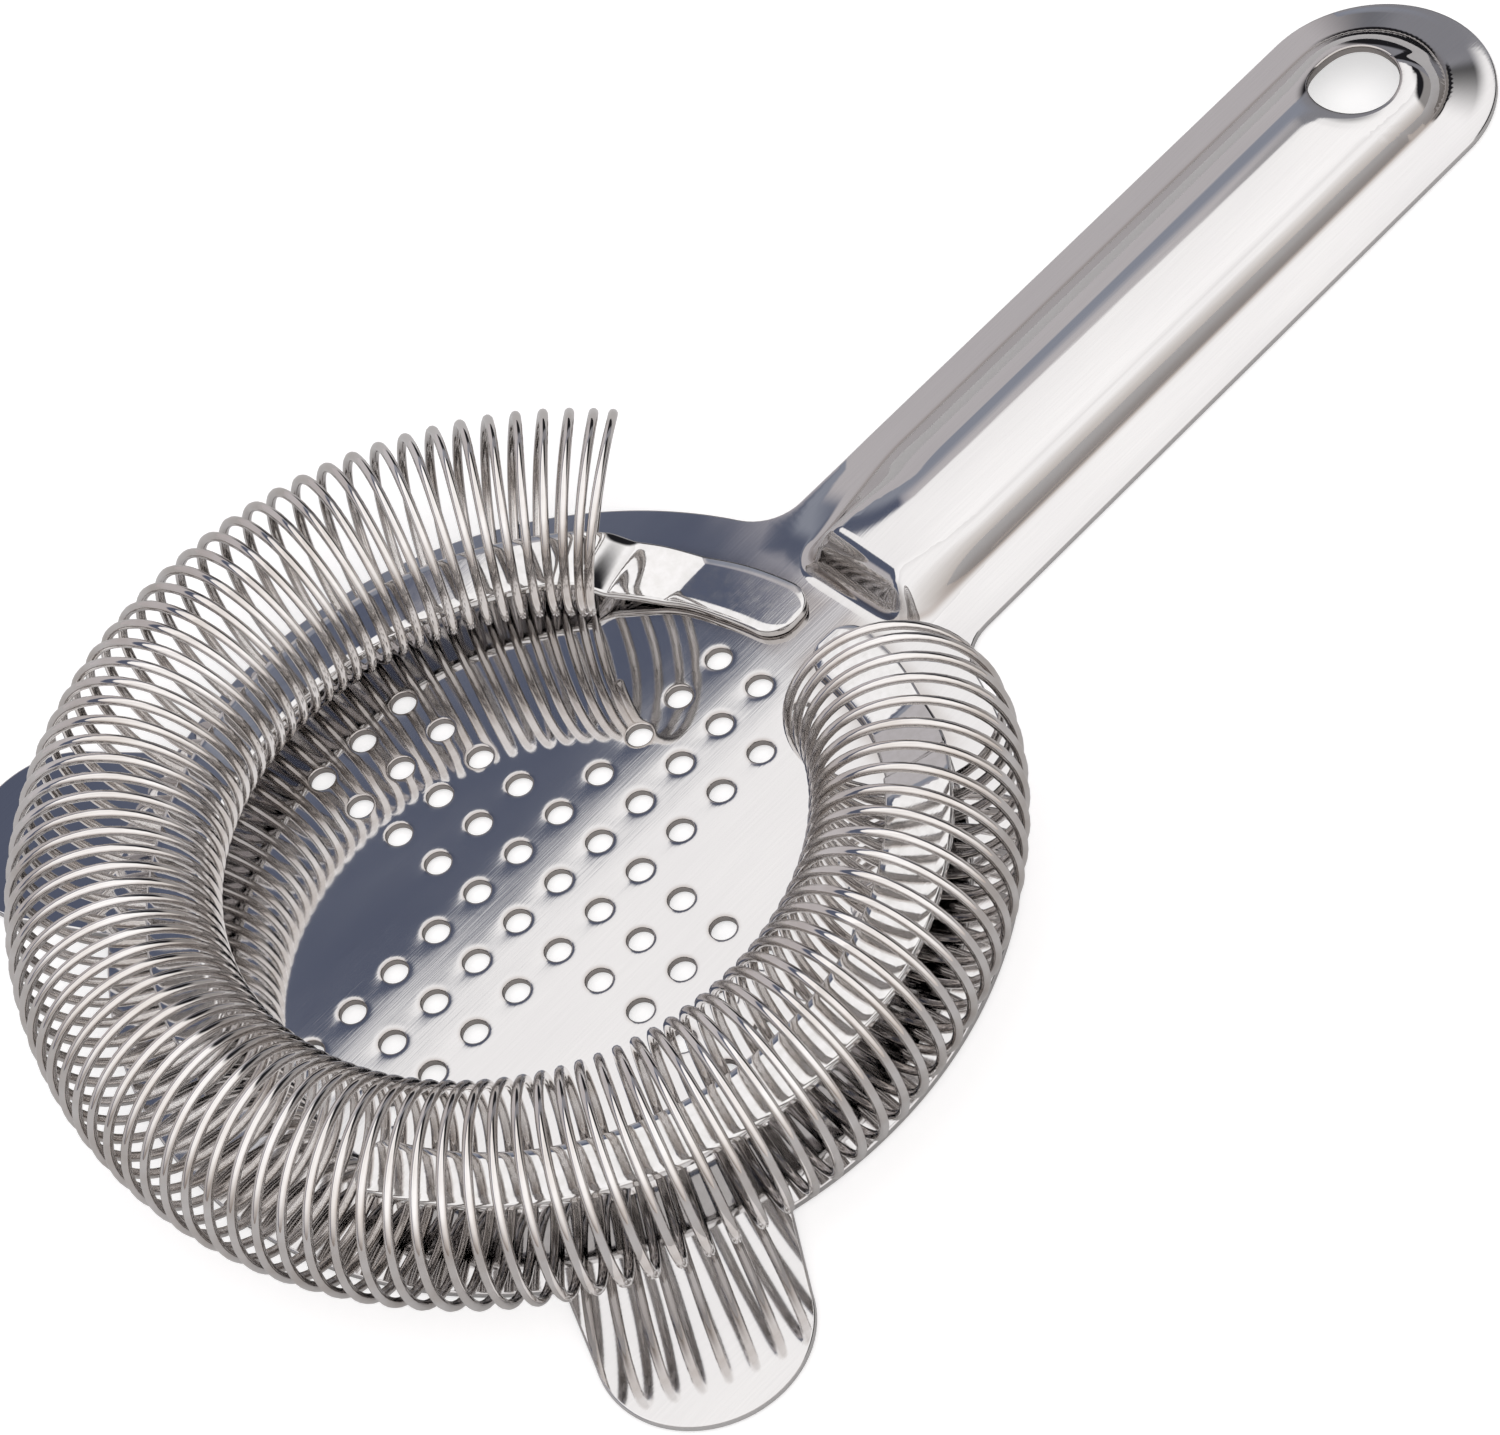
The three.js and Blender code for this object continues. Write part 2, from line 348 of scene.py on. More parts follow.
def rib_rise(x, y, shrink=0.0):
    """Height of the rib: a low left flank, a steep right one, and a wall that faces the disc."""
    left, right = rib_halves(x)
    across = y - RIB["mid"]
    past = np.maximum(x - RIB["end"], 0)
    away = np.hypot(past, across)
    leftward = smoothstep(np.degrees(np.arctan2(across, past)), *RIB["left_turn"])
    rightward = smoothstep(np.degrees(np.arctan2(-across, past)), *RIB["right_turn"])
    arching, settled = (RIB["start"] + length for length in RIB["settling"])
    along = smoothstep(x, RIB["start"], settled)
    steep_left = between(*RIB["left_wall"], along)
    steep_right = between(*RIB["right_wall"], along)

    share = np.clip((x - RIB["start"]) / (RIB["end"] - RIB["start"]), 0, 1)
    left_arch, right_arch = RIB["arch"]
    arch = between(right_arch, left_arch, leftward)
    crown = between(*RIB["height"], share) - arch * away**2 * smoothstep(x, arching, settled)

    left_foot = left - np.where(past > 0, away, across) - shrink
    right_foot = right + np.where(past > 0, -away, across) - shrink
    steep = between(RIB["round_end"], steep_left, leftward)
    steep = steep + (steep_right - RIB["round_end"]) * rightward
    end_crest = between(RIB["right_crest"], RIB["left_crest"], leftward)
    round_end = soft_min(steep * (right - away - shrink), crown, end_crest)
    flanks = soft_min(
        soft_min(steep_left * left_foot, crown, RIB["left_crest"]),
        steep_right * right_foot,
        RIB["right_crest"],
    )
    body = np.where(past > 0, round_end, flanks)
    wall = soft_min(RIB["end_wall"] * (x - RIB["start"] - shrink), crown, RIB["wall_crest"])
    both = crown * (1 - np.hypot(1 - body / crown, 1 - wall / crown))
    return soft_max(both, 0, between(*RIB["foot"], along))


def flange_rise(x, y):
    outside = np.clip(-rib_inset(x, y) / FLANGE["width"], 0, 1)
    return FLANGE["rise"] * (1 - outside) * smoothstep(x, *FLANGE["from"])


CENTRES = hole_centres()


def nearest_hole(x, y):
    """Distance from each point to the rim of its nearest drain hole."""
    gap = np.full(x.shape, np.inf)
    for cx, cy in CENTRES:
        gap = np.minimum(gap, np.hypot(x - cx, y - cy) - HOLE["radius"])
    return gap


def hang_gap(x, y):
    return np.hypot(x - HANG["x"], y - HANG["y"]) - HANG["radius"]


def dish(gap, shape):
    """How far a rim sinks at this distance from its hole."""
    fading = 1 - smoothstep(gap, 0.5 * shape["reach"], shape["reach"])
    return shape["depth"] * np.exp(-np.maximum(gap, 0) / shape["width"]) * fading


def trails(x, y):
    """The grooves behind the holes: deepest at the rim, fading along -X."""
    sunk = np.zeros(x.shape)
    for cx, cy in CENTRES:
        behind = cx - x
        along = np.exp(-np.maximum(behind - HOLE["radius"], 0) / TRAIL["length"])
        along = along * smoothstep(behind, TRAIL["start"], HOLE["radius"])
        along = along * (1 - smoothstep(behind, TRAIL["fading"], TRAIL["end"]))
        sunk += along * np.exp(-(((y - cy) / TRAIL["half"]) ** 2))
    return TRAIL["depth"] * sunk


def plate_top(x, y):
    sunk = dish(nearest_hole(x, y), HOLE_DISH) + trails(x, y) + dish(hang_gap(x, y), HANG_DISH)
    return SHEET + flange_rise(x, y) + rib_rise(x, y) - sunk


def plate_bottom(x, y):
    return flange_rise(x, y) + rib_rise(x, y, RIB["hollow"]) - dish(hang_gap(x, y), HANG_DISH)


def slope_normals(height, x, y, step=0.02):
    """Normals of a surface z = height(x, y)."""
    dx = (height(x + step, y) - height(x - step, y)) / (2 * step)
    dy = (height(x, y + step) - height(x, y - step)) / (2 * step)
    return unit(np.c_[-dx, -dy, np.ones_like(dx)])


def rib_ring(inset):
    """The rib's foot outline moved in by inset, less than nothing moving it out."""
    start, end, mid = RIB["start"] + inset, RIB["end"], RIB["mid"]
    least_corner, step = 0.3, 0.8
    corner = max(RIB["corner"] - inset, least_corner)
    turn = start + corner
    x = np.arange(turn, end, step)
    left, right = rib_halves(x)
    high, low = mid + left[0] - inset, mid - right + inset
    quarter = math.pi / 2
    return np.vstack(
        [
            arc(end, mid, RIB["half"] - inset, -quarter, quarter, step=0.55),
            np.c_[x, mid + left - inset],
            arc(turn, high - corner, corner, quarter, 2 * quarter, step=0.35),
            line([start, high - corner], [start, low + corner], step=0.5),
            arc(turn, low + corner, corner, 2 * quarter, 3 * quarter, step=0.35),
            np.c_[x, np.full(len(x), low)],
        ]
    )


def grid_points(across, up):
    """A grid from (first, end, step) along x and along y."""
    x, y = np.meshgrid(np.arange(*across), np.arange(*up))
    return np.c_[x.ravel(), y.ravel()]


def sheet_points():
    """Extra points that carry the rib, the dished rims and the flat of the disc."""
    rings = [rib_ring(inset) for inset in PLATE_MESH["rib_insets"]]
    crown = grid_points(PLATE_MESH["rib_x"], PLATE_MESH["rib_y"])
    rings.append(crown[rib_inset(*crown.T) > PLATE_MESH["crown_inset"]])
    found = np.vstack(rings)
    found = found[hang_gap(*found.T) > HANG_DISH["reach"]]
    made = [found[found[:, 0] > RIB["start"] - PLATE_MESH["rib_ahead"]]]
    for gap in PLATE_MESH["hang_gaps"]:
        made.append(arc(HANG["x"], HANG["y"], HANG["radius"] + gap, 0, 2 * math.pi, step=0.42))
    disc = grid_points(PLATE_MESH["disc"], PLATE_MESH["disc"]) + PLATE_MESH["disc_shift"]
    clear = (np.hypot(*disc.T) < DISC_RADIUS - 1) & (disc[:, 0] < RIB["start"] - 1)
    made.append(disc[clear & (nearest_hole(*disc.T) > PLATE_MESH["disc_clear"])])
    for centre in CENTRES:
        for gap in PLATE_MESH["hole_gaps"]:
            made.append(centre + (HOLE["radius"] + gap) * circle(HOLE["sides"]))
    return np.vstack(made)


def painted_shade_of(x, y):
    """Painted shade: 0 on open steel, up to 1 in the folds, on the rims and where the arms are welded."""
    fold, rim, weld = PAINTED_SHADE["folds"], PAINTED_SHADE["rims"], PAINTED_SHADE["weld"]
    folds = np.exp(-((rib_inset(x, y) - fold["inset"]) / fold["width"]) ** 2)
    rims = np.exp(-(np.minimum(nearest_hole(x, y), hang_gap(x, y)) / rim["width"]) ** 2)
    turn = np.degrees(np.abs(np.arctan2(y, x)))
    across = np.abs(np.hypot(x, y) - (ARM["inner"] + ARM["outer"]) / 2) - weld["half"]
    beyond = np.maximum(ARM["start"] - turn, turn - ARM["folds"][1]) * weld["degree"]
    welds = np.exp(-(np.maximum(np.maximum(across, beyond), 0) / weld["width"]) ** 2)
    total = fold["strength"] * folds + rim["strength"] * rims + weld["strength"] * welds
    return np.clip(total, 0, 1)


def strainer_plate(material):
    """The stamped sheet: its flat outline and rims, joined by rounded edges to both faces."""
    outline = plate_outline()
    loops = [(outline, outward(outline), EDGE)]
    clockwise = (1, -1)
    for centre in CENTRES:
        rim = circle(HOLE["sides"]) * clockwise
        loops.append((centre + HOLE["radius"] * rim, -rim, HOLE_EDGE))
    rim = circle(HANG["sides"]) * clockwise
    centre = (HANG["x"], HANG["y"])
    loops.append((centre + HANG["radius"] * rim, -rim, EDGE))

    flat, edges, first = [], [], 0
    for points, out, edge in loops:
        count = len(points)
        flat.append(points - edge * out)
        edges += [(first + k, first + (k + 1) % count) for k in range(count)]
        first += count
    flat.append(sheet_points())
    flat = np.vstack(flat)
    coords = [Vector(p) for p in flat.tolist()]
    inside_only, epsilon = 1, 1e-5
    made, _, faces, origin, _, _ = delaunay_2d_cdt(coords, edges, [], inside_only, epsilon)
    place = {}
    for k, sources in enumerate(origin):
        for source in sources:
            place[source] = k
    xy = np.array([list(p) for p in made])
    x, y = xy[:, 0], xy[:, 1]

    within = 0.9  # a face this share of its rim's rounding away from a hole, or less, lies in it

    def inside(face):
        mid = xy[face].mean(0)
        in_hole = nearest_hole(mid[:1], mid[1:])[0] < HOLE_EDGE * within
        return not (in_hole or hang_gap(mid[:1], mid[1:])[0] < EDGE * within)

    faces = [list(face) for face in faces if inside(face)]
    total = len(xy)
    top = np.c_[x, y, plate_top(x, y)]
    bottom = np.c_[x, y, plate_bottom(x, y)]
    up = slope_normals(plate_top, x, y)
    down = -slope_normals(plate_bottom, x, y)
    points, normals = [top, bottom], [up, down]
    skin = faces + [[total + k for k in reversed(face)] for face in faces]
    used = 2 * total
    first = 0
    turns = [math.radians(angle) for angle in EDGE_TURNS]
    for loop, out, edge in loops:
        count = len(loop)
        ids = np.array([place[first + k] for k in range(count)])
        first += count
        rings = [ids]
        out3 = np.c_[out, np.zeros(count)]
        for base, facing, angles in ((top, up, turns), (bottom, down, turns[::-1])):
            sign = 1 if base is top else -1
            for angle in angles:
                ring = base[ids] + edge * math.sin(angle) * out3
                ring[:, 2] -= sign * edge * (1 - math.cos(angle))
                points.append(ring)
                normals.append(math.cos(angle) * facing[ids] + math.sin(angle) * out3)
                rings.append(used + np.arange(count))
                used += count
        rings.append(total + ids)
        for a, b in zip(rings, rings[1:]):
            for k in range(count):
                j = (k + 1) % count
                skin.append([int(a[k]), int(b[k]), int(b[j]), int(a[j])])
    points, normals = np.vstack(points), np.vstack(normals)
    # painted shade at each point: darker in the folds, on the rims and under the arms
    painted_shade = painted_shade_of(points[:, 0], points[:, 1])
    return make_piece("plate_sheet", points, skin, normals, material, painted_shade)


# ---------------------------------------------------------------- arms


def tube_faces(rings, count):
    """Quads between rings of count points that lie one after another, with both ends closed."""
    faces = []
    for k in range(rings - 1):
        a, b = k * count, (k + 1) * count
        for i in range(count):
            j = (i + 1) % count
            faces.append([a + i, a + j, b + j, b + i])
    last = (rings - 1) * count
    faces.append(list(range(count))[::-1])
    faces.append([last + i for i in range(count)])
    return faces


def arm_height(angle, across, rises):
    """Upper face of an arm: the pad, a ramp in four flat pieces, then a climb to the settled height.

    across is 1 at the outer edge and -1 at the inner one.
    """
    leaning = angle + ARM["skew"] * across
    folds = ARM["folds"] + (ARM["settled"],)
    rises = rises + (ARM["top"] - ARM["pad_top"],)
    shifts = np.linspace(-ARM["fold"], ARM["fold"], ARM["fold_steps"])
    return ARM["pad_top"] + sum(np.interp(leaning + k, folds, rises) for k in shifts) / len(shifts)


def round_off(distance, radius):
    """How far a rounded corner stands back at this distance from the end."""
    left = np.clip(radius - distance, 0, radius)
    return radius - np.sqrt(radius**2 - left**2)


def welded_arm(name, side, material):
    """One polished strip with rounded edges, from its pad on the disc to its free end."""
    middle = (ARM["inner"] + ARM["outer"]) / 2
    length = math.radians(ARM["end"] - ARM["start"]) * middle
    half_width = (ARM["outer"] - ARM["inner"]) / 2
    dense = ARM["pad_corner"] * ARM["dense"]
    ends = dense * (1 - np.cos(np.linspace(0, math.pi / 2, ARM["dense_rows"])))
    inner_part = np.linspace(dense, length - dense, ARM["rows"])[1:-1]
    along = np.r_[ends, inner_part, length - ends[::-1]]
    angle = ARM["start"] + np.degrees(along / middle)
    corner = np.maximum(
        round_off(along, ARM["pad_corner"]), round_off(length - along, ARM["end_corner"])
    )
    neck, spread, depth = ARM["waist"]
    waist = depth * np.exp(-(((angle - neck) / spread) ** 2))
    inset = ARM["inset"] * smoothstep(angle, ARM["inset_from"], ARM["end"])
    inner = ARM["inner"] + corner + waist + inset
    outer = ARM["outer"] - corner - waist
    edge = ARM["edge"]
    thin = round_off(np.minimum(along, length - along), edge)
    across = np.linspace(1, -1, ARM["columns"])  # 1 at the outer edge
    quarter = np.radians([22.5, 45, 67.5, 90])
    rows = []
    for k in range(len(along)):
        lo, hi = inner[k] + edge, outer[k] - edge
        radius = (lo + hi) / 2 + across * (hi - lo) / 2
        lift = arm_height(angle[k], (radius - middle) / half_width, ARM["rises"][name]) - thin[k]
        base = lift - ARM["thick"] + 2 * thin[k]
        soft = edge * min(1.0, (ARM["thick"] / 2 - thin[k]) / (ARM["thick"] / 2))
        out, down = edge * np.sin(quarter), soft * (1 - np.cos(quarter))
        section = np.vstack(
            [
                np.c_[radius, lift][::-1],
                np.c_[hi + out, lift[0] - down],
                np.c_[hi + out, base[0] + down][::-1],
                np.c_[radius, base],
                np.c_[lo - out, base[-1] + down],
                np.c_[lo - out, lift[-1] - down][::-1],
            ]
        )
        turn = math.radians(angle[k])
        r, z = section[:, 0], section[:, 1]
        rows.append(np.c_[r * math.cos(turn), side * r * math.sin(turn), z])
    points = np.vstack(rows)
    faces = tube_faces(len(rows), len(rows[0]))
    if side > 0:
        faces = [face[::-1] for face in faces]
    return make_piece(name + "_strip", points, faces, None, material)


# ---------------------------------------------------------------- coil


def wire_line(turns):
    """The wire's centre line at a list of turn numbers, counted from the left end."""
    turns = np.asarray(turns, float)
    to_go = COIL["turns"] - turns
    way = 2 * turns / COIL["turns"] - 1  # -1 at the left end, 1 at the right one
    crowding = COIL["crowding"]
    left, right = COIL["ends"]
    half = 180 - (left + right) / 2
    angle = 180 + (left - right) / 2 + half * (way * (1 - crowding) + crowding * way**3)
    leaning = 1 + np.sin(2 * math.pi * turns)  # nothing at a turn's top, 2 at its foot
    for sign, gone, closing, rate, lean in zip(
        (1, -1), (turns, to_go), COIL["closing"], COIL["closing_rate"], COIL["lean"]
    ):
        angle = angle + sign * closing * np.exp(-rate * gone)
        angle = angle + sign * lean * leaning * np.exp(-gone / COIL["lean_turns"])
    angle = np.radians(angle)
    fanned = math.pi + (angle - math.pi) * COIL["fan"]
    turn = -2 * math.pi * turns
    reach = COIL["radius"] * np.cos(turn)
    ring = 1 - COIL["tucked"] * np.exp(-to_go / COIL["tucked_turns"])
    return np.c_[
        COIL["x"] + COIL["along_x"] * ring * np.cos(angle) + reach * np.cos(fanned),
        COIL["along_y"] * ring * np.sin(angle) + reach * np.sin(fanned),
        COIL["height"] + COIL["radius"] * np.sin(turn),
    ]


def round_wire(name, path, radius, sides, material):
    """A tube around a path, with rounded ends."""
    ahead = unit(np.gradient(path, axis=0))
    side = np.empty_like(path)
    not_ahead = (0.3, 0.2, 1.0)
    side[0] = unit(np.cross(ahead[0], not_ahead))
    for k in range(1, len(path)):
        carried = side[k - 1] - ahead[k] * np.dot(side[k - 1], ahead[k])
        side[k] = carried / np.linalg.norm(carried)
    up = np.cross(ahead, side)
    sideways, upwards = circle(sides).T[:, None, :, None]
    ring = sideways * side[:, None] + upwards * up[:, None]
    points = path[:, None] + radius * ring
    caps = []
    for at, sign in ((0, -1), (-1, 1)):
        cap = []
        for angle in np.radians(COIL["cap_turns"]):
            middle = path[at] + sign * radius * COIL["cap"] * math.sin(angle) * ahead[at]
            cap.append(middle + radius * math.cos(angle) * ring[at])
        caps.append(cap)
    rows = np.concatenate([np.array(caps[0][::-1]), points, np.array(caps[1])])
    faces = tube_faces(len(rows), sides)
    return make_piece(name, rows.reshape(-1, 3), faces, None, material)


def coil_spring(material):
    turns = np.arange(COIL["first"], COIL["turns"], 1 / COIL["steps"])
    return round_wire("coil_wire", wire_line(turns), COIL["wire"], COIL["sides"], material)


# ---------------------------------------------------------------- materials


def nodes_of(material):
    material.use_nodes = True
    tree = material.node_tree
    tree.nodes.clear()
    output = tree.nodes.new("ShaderNodeOutputMaterial")
    shader = tree.nodes.new("ShaderNodeBsdfPrincipled")
    tree.links.new(shader.outputs["BSDF"], output.inputs["Surface"])
    return tree, shader


def noise(tree, stretch, detail=2.0, rough=0.5):
    """Noise over the piece's own millimetres. stretch is features a millimetre along x, y and z."""
    place = tree.nodes.new("ShaderNodeTexCoord")
    scale = tree.nodes.new("ShaderNodeMapping")
    scale.inputs["Scale"].default_value = [s / MM for s in stretch]
    made = tree.nodes.new("ShaderNodeTexNoise")
    made.inputs["Scale"].default_value = 1
    made.inputs["Detail"].default_value = detail
    made.inputs["Roughness"].default_value = rough
    tree.links.new(place.outputs["Object"], scale.inputs["Vector"])
    tree.links.new(scale.outputs["Vector"], made.inputs["Vector"])
    return made.outputs["Fac"]


def remap(tree, value, low, high, to_low, to_high):
    made = tree.nodes.new("ShaderNodeMapRange")
    for key, number in zip(("From Min", "From Max", "To Min", "To Max"), (low, high, to_low, to_high)):
        made.inputs[key].default_value = number
    tree.links.new(value, made.inputs["Value"])
    return made.outputs["Result"]


def mix_colour(tree, share, first, second):
    made = tree.nodes.new("ShaderNodeMix")
    made.data_type = "RGBA"
    for socket, colour in ((made.inputs[6], first), (made.inputs[7], second)):
        if isinstance(colour, tuple):
            socket.default_value = (*colour, 1)
        else:
            tree.links.new(colour, socket)
    tree.links.new(share, made.inputs[0])
    return made.outputs[2]


def bump(tree, height, depth, below=None):
    """A bump of this depth in millimetres, over another one."""
    made = tree.nodes.new("ShaderNodeBump")
    made.inputs["Strength"].default_value = 1
    made.inputs["Distance"].default_value = depth * MM
    tree.links.new(height, made.inputs["Height"])
    if below is not None:
        tree.links.new(below, made.inputs["Normal"])
    return made.outputs["Normal"]


def sheet_steel():
    """Bright rolled sheet: fine grain along the handle, slight waves, and painted shade that darkens it in
    its folds, on its rims and under the arms.
    """
    material = bpy.data.materials.new("sheet_steel")
    tree, shader = nodes_of(material)
    grain = noise(tree, (0.16, 5.5, 1.0), 3.0, 0.6)
    waves = noise(tree, (0.03, 0.14, 0.1), 1.0)
    patches = noise(tree, (0.05, 0.12, 0.1), 3.0)
    # painted shade, read from the plate's per-point attribute
    painted_shade = tree.nodes.new("ShaderNodeAttribute")
    painted_shade.attribute_name = "painted_shade"
    cloudy = mix_colour(
        tree, remap(tree, patches, 0.3, 0.7, 0, 1), (0.645, 0.635, 0.635), (0.68, 0.67, 0.665)
    )
    scored = mix_colour(
        tree, remap(tree, grain, 0.25, 0.75, 0, 0.3), cloudy, (0.56, 0.55, 0.55)
    )
    # painted shade: mixes in a warm dark brown, up to three quarters, where shade falls in the folds, on
    # the rims and under the arms
    shaded = mix_colour(
        tree, remap(tree, painted_shade.outputs["Fac"], 0, 1, 0, 0.75), scored, (0.3, 0.25, 0.22)
    )
    tree.links.new(shaded, shader.inputs["Base Color"])
    tree.links.new(remap(tree, patches, 0.3, 0.7, 0.03, 0.055), shader.inputs["Roughness"])
    shader.inputs["Metallic"].default_value = 1
    waved = bump(tree, waves, 0.02)
    tree.links.new(bump(tree, grain, 0.0006, waved), shader.inputs["Normal"])
    return material


def arm_steel():
    """Mirror-polished strip with a soft ripple left by the polishing."""
    material = bpy.data.materials.new("arm_steel")
    tree, shader = nodes_of(material)
    ripple = noise(tree, (0.16, 0.3, 0.2), 2.0)
    haze = noise(tree, (1.2, 1.2, 1.2), 3.0)
    scratches = noise(tree, (0.5, 6.0, 2.0), 2.0, 0.7)
    colour = mix_colour(
        tree, remap(tree, haze, 0.3, 0.7, 0, 1), (0.7, 0.69, 0.69), (0.64, 0.63, 0.62)
    )
    tree.links.new(colour, shader.inputs["Base Color"])
    tree.links.new(remap(tree, haze, 0.3, 0.7, 0.02, 0.06), shader.inputs["Roughness"])
    shader.inputs["Metallic"].default_value = 1
    rippled = bump(tree, ripple, 0.004)
    tree.links.new(bump(tree, scratches, 0.0006, rippled), shader.inputs["Normal"])
    return material


def wire_steel():
    """Drawn spring wire: bright, a little warm, with faint drawing marks."""
    material = bpy.data.materials.new("wire_steel")
    tree, shader = nodes_of(material)
    marks = noise(tree, (2.5, 2.5, 2.5), 3.0, 0.6)
    stains = noise(tree, (0.12, 0.12, 0.3), 3.0)
    colour = mix_colour(
        tree, remap(tree, stains, 0.35, 0.7, 0, 1), (0.76, 0.74, 0.73), (0.6, 0.56, 0.53)
    )
    tree.links.new(colour, shader.inputs["Base Color"])
    tree.links.new(remap(tree, marks, 0.3, 0.7, 0.03, 0.08), shader.inputs["Roughness"])
    shader.inputs["Metallic"].default_value = 1
    tree.links.new(bump(tree, marks, 0.0015), shader.inputs["Normal"])
    return material


# ---------------------------------------------------------------- studio


def value_of(tree, operation, *inputs):
    made = tree.nodes.new("ShaderNodeMath")
    made.operation = operation
    for socket, value in zip(made.inputs, inputs):
        if isinstance(value, (int, float)):
            socket.default_value = value
        else:
            tree.links.new(value, socket)
    return made.outputs[0]


def smooth_range(tree, value, low, high):
    made = tree.nodes.new("ShaderNodeMapRange")
    made.interpolation_type = "SMOOTHSTEP"
    made.inputs["From Min"].default_value = low
    made.inputs["From Max"].default_value = high
    tree.links.new(value, made.inputs["Value"])
    return made.outputs["Result"]


def ramp(tree, value, stops):
    """A colour from a value through stops of (position, red, green, blue)."""
    low, high = stops[0][0], stops[-1][0]
    made = tree.nodes.new("ShaderNodeValToRGB")
    band = made.color_ramp
    while len(band.elements) < len(stops):
        band.elements.new(0.5)
    for element, (at, *colour) in zip(band.elements, stops):
        element.position = (at - low) / (high - low)
        element.color = (*colour, 1)
    tree.links.new(remap(tree, value, low, high, 0, 1), made.inputs["Fac"])
    return made.outputs["Color"]


def studio():
    """A white ceiling softbox with a straight edge, and a navy and grey room beyond it."""
    world = bpy.data.worlds.new("studio")
    bpy.context.scene.world = world
    world.use_nodes = True
    tree = world.node_tree
    tree.nodes.clear()
    output = tree.nodes.new("ShaderNodeOutputWorld")
    light = tree.nodes.new("ShaderNodeBackground")
    tree.links.new(light.outputs["Background"], output.inputs["Surface"])
    place = tree.nodes.new("ShaderNodeTexCoord")
    split = tree.nodes.new("ShaderNodeSeparateXYZ")
    tree.links.new(place.outputs["Generated"], split.inputs["Vector"])
    x, y, z = (split.outputs[k] for k in range(3))
    # the softbox's edge: a plane through the part, leaning away from the zenith towards +Y
    of_y, of_z = (value_of(tree, "MULTIPLY", *pair) for pair in zip((y, z), SOFTBOX_EDGE))
    over = value_of(tree, "ADD", of_y, of_z)
    leaning = value_of(tree, "SUBTRACT", x, value_of(tree, "MULTIPLY", y, EDGE_LEAN))
    shift = value_of(tree, "MULTIPLY", smooth_range(tree, leaning, 0.03, 0.2), 0.02)
    softbox = smooth_range(tree, value_of(tree, "SUBTRACT", over, shift), -0.01, 0.004)
    # its two panels meet in a faint seam, and it dims to beige and brown towards the horizon
    panel = ramp(tree, y, [(-0.3, 0.87, 0.86, 0.86), (0.15, 0.77, 0.76, 0.76)])
    ceiling = ramp(tree, y, [(0.15, 0.93, 0.92, 0.92), (0.5, 0.84, 0.83, 0.83)])
    white = mix_colour(tree, smooth_range(tree, y, 0.13, 0.18), panel, ceiling)
    horizon = ramp(tree, x, [(-0.8, 0.2, 0.17, 0.155), (-0.2, 0.5, 0.465, 0.44)])
    lit = mix_colour(tree, remap(tree, z, 0, 0.62, 0, 1), horizon, white)
    # the room beyond the edge, by how far along it a direction lies, and by how far past it
    beside = ramp(
        tree,
        leaning,
        [
            (-0.01, *NAVY),
            (0.01, 0.32, 0.31, 0.34),
            (0.04, *BEIGE),
            (0.13, *BEIGE),
            (0.15, 0.32, 0.31, 0.32),
            (0.19, *DARK_GREY),
        ],
    )
    past = ramp(tree, leaning, [(-0.17, *NAVY), (-0.08, 0.22, 0.235, 0.28)])
    near = mix_colour(tree, smooth_range(tree, over, -0.09, -0.03), past, beside)
    room = mix_colour(tree, smooth_range(tree, over, -0.23, -0.17), (0.42, 0.4, 0.41), near)
    whole = mix_colour(tree, softbox, room, lit)
    # it ends towards +X, where the room is black but for a band beside the edge and a grey horizon
    edge_band = value_of(
        tree,
        "MULTIPLY",
        smooth_range(tree, over, -0.24, -0.14),
        value_of(tree, "SUBTRACT", 1, smooth_range(tree, over, 0.04, 0.08)),
    )
    blackness = value_of(
        tree, "MAXIMUM", smooth_range(tree, y, 0.1, 0.35), smooth_range(tree, z, 0.35, 0.5)
    )
    black = mix_colour(tree, blackness, (0.25, 0.24, 0.235), (0.012, 0.012, 0.014))
    dark = mix_colour(tree, edge_band, black, DARK_GREY)
    tree.links.new(
        mix_colour(tree, smooth_range(tree, x, 0.52, 0.65), whole, dark), light.inputs["Color"]
    )
    light.inputs["Strength"].default_value = STRENGTH


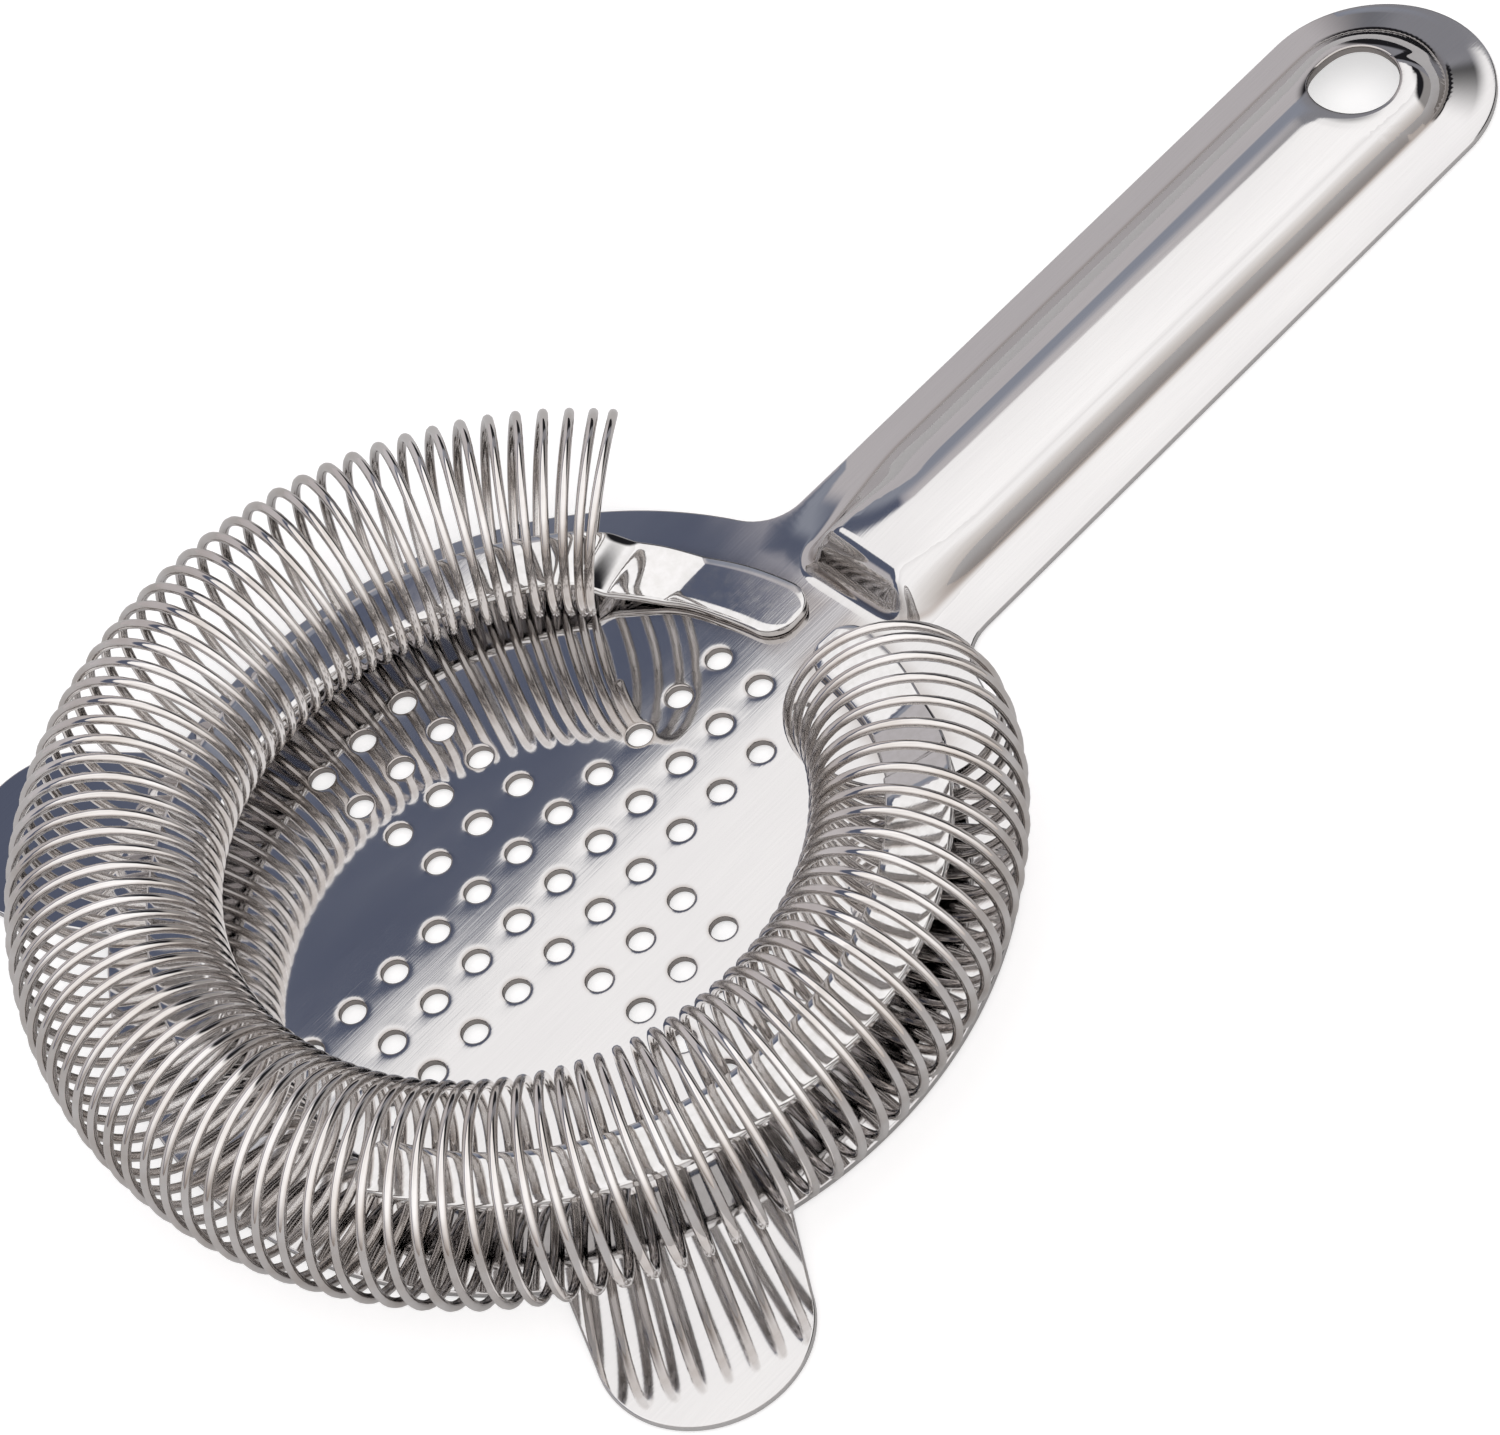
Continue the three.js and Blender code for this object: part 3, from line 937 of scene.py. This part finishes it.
def white_floor():
    """A plain pale floor just under the part."""
    half = FLOOR["half"]
    mesh = bpy.data.meshes.new("floor")
    corners = [(-half, -half, 0), (half, -half, 0), (half, half, 0), (-half, half, 0)]
    mesh.from_pydata(corners, [], [(0, 1, 2, 3)])
    floor = bpy.data.objects.new("floor", mesh)
    floor.location.z = CAD_LOW.z - FLOOR["gap"]
    bpy.context.scene.collection.objects.link(floor)
    material = bpy.data.materials.new("floor_white")
    tree, shader = nodes_of(material)
    shader.inputs["Base Color"].default_value = (0.6, 0.595, 0.595, 1)
    shader.inputs["Roughness"].default_value = 0.9
    shader.inputs["Emission Color"].default_value = (1, 0.995, 0.995, 1)
    # bright where it is looked at, dimmer in the steel's reflections, as an overexposed backdrop is
    seen = tree.nodes.new("ShaderNodeLightPath").outputs["Is Camera Ray"]
    tree.links.new(remap(tree, seen, 0, 1, 0, FLOOR["glow"]), shader.inputs["Emission Strength"])
    mesh.materials.append(material)


def photo_camera():
    """Looks down at the part from the side of its -Y ear, rolled so that the handle points up and right."""
    azimuth, elevation, roll = (math.radians(CAMERA[k]) for k in ("azimuth", "elevation", "roll"))
    along, across = CAMERA["aim"]
    aim = Vector(((DISC_X + along) * MM, across * MM, CAD_LOW.z))
    back = Vector(
        (
            math.sin(azimuth) * math.cos(elevation),
            -math.cos(azimuth) * math.cos(elevation),
            math.sin(elevation),
        )
    )
    level = Vector((math.cos(azimuth), math.sin(azimuth), 0))
    right = level * math.cos(roll) + back.cross(level) * math.sin(roll)
    turned = Matrix((right, back.cross(right), back)).transposed().to_4x4()
    data = bpy.data.cameras.new("camera")
    data.sensor_width = CAMERA["sensor"]
    data.lens = CAMERA["lens"]
    data.clip_start = 0.01
    data.clip_end = 10
    camera = bpy.data.objects.new("camera", data)
    camera.matrix_world = Matrix.Translation(aim + back * CAMERA["distance"]) @ turned
    bpy.context.scene.collection.objects.link(camera)
    bpy.context.scene.camera = camera


photo_camera()
studio()
white_floor()
bpy.context.scene.view_settings.view_transform = "Standard"

PLATE_STEEL = sheet_steel()
ARM_STEEL = arm_steel()
WIRE_STEEL = wire_steel()
for node, finish in (
    ("strainer_plate", PLATE_STEEL),
    ("left_arm", ARM_STEEL),
    ("right_arm", ARM_STEEL),
    ("coil_spring", WIRE_STEEL),
):
    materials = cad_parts[node].data.materials
    materials.clear()
    materials.append(finish)

plate = strainer_plate(PLATE_STEEL)
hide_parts("strainer_plate")
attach(plate, "plate")

for arm_name, arm_side in (("left_arm", 1), ("right_arm", -1)):
    strip = welded_arm(arm_name, arm_side, ARM_STEEL)
    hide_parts(arm_name)
    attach(strip, "plate")

wire = coil_spring(WIRE_STEEL)
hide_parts("coil_spring")
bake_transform(wire)
